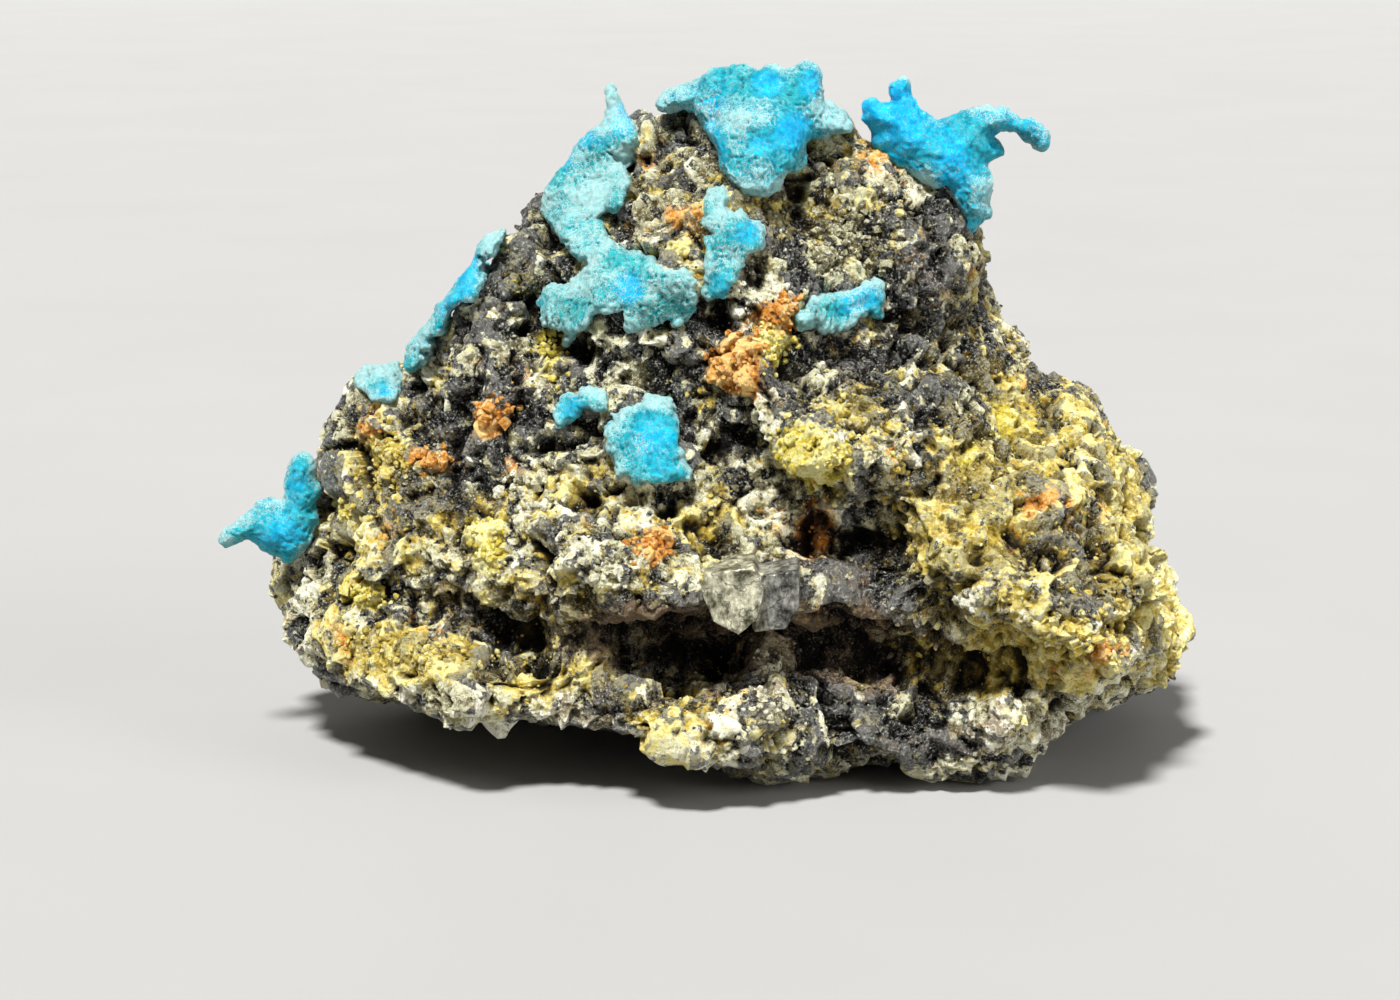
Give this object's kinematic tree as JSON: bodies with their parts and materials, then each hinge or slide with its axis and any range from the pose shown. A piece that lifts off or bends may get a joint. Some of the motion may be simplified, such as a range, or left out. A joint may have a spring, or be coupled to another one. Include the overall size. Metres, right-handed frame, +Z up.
{
  "type": "chalcanthite mineral specimen",
  "caption": "Rough lump of sulphide ore that stands on its underside, with bright blue chalcanthite crusts, stubby horns and fingers grown on its peak and show face.",
  "frame": {"origin": "middle of the specimen's footprint, on the surface that it stands on", "axes": "+X to the right across the show face, +Y to the back, +Z up; the show face looks towards -Y"},
  "size_m": [0.0728, 0.0452, 0.0503],
  "materials": {
    "ore": "rough, granular, with dull metallic glints",
    "chalcanthite": "translucent, frosted",
    "pyrite": "metallic crystal faces"
  },
  "bodies": {
    "root": {"ore_matrix": "ore", "crown_crust": "chalcanthite", "horn_growth": "chalcanthite", "draped_crust": "chalcanthite", "ribbon_crust": "chalcanthite", "ledge_crust": "chalcanthite", "edge_crust": "chalcanthite", "shoulder_crust": "chalcanthite", "finger_growth": "chalcanthite", "small_patch": "chalcanthite", "centre_patch": "chalcanthite", "pyrite_crystal": "pyrite"}
  },
  "joints": []
}
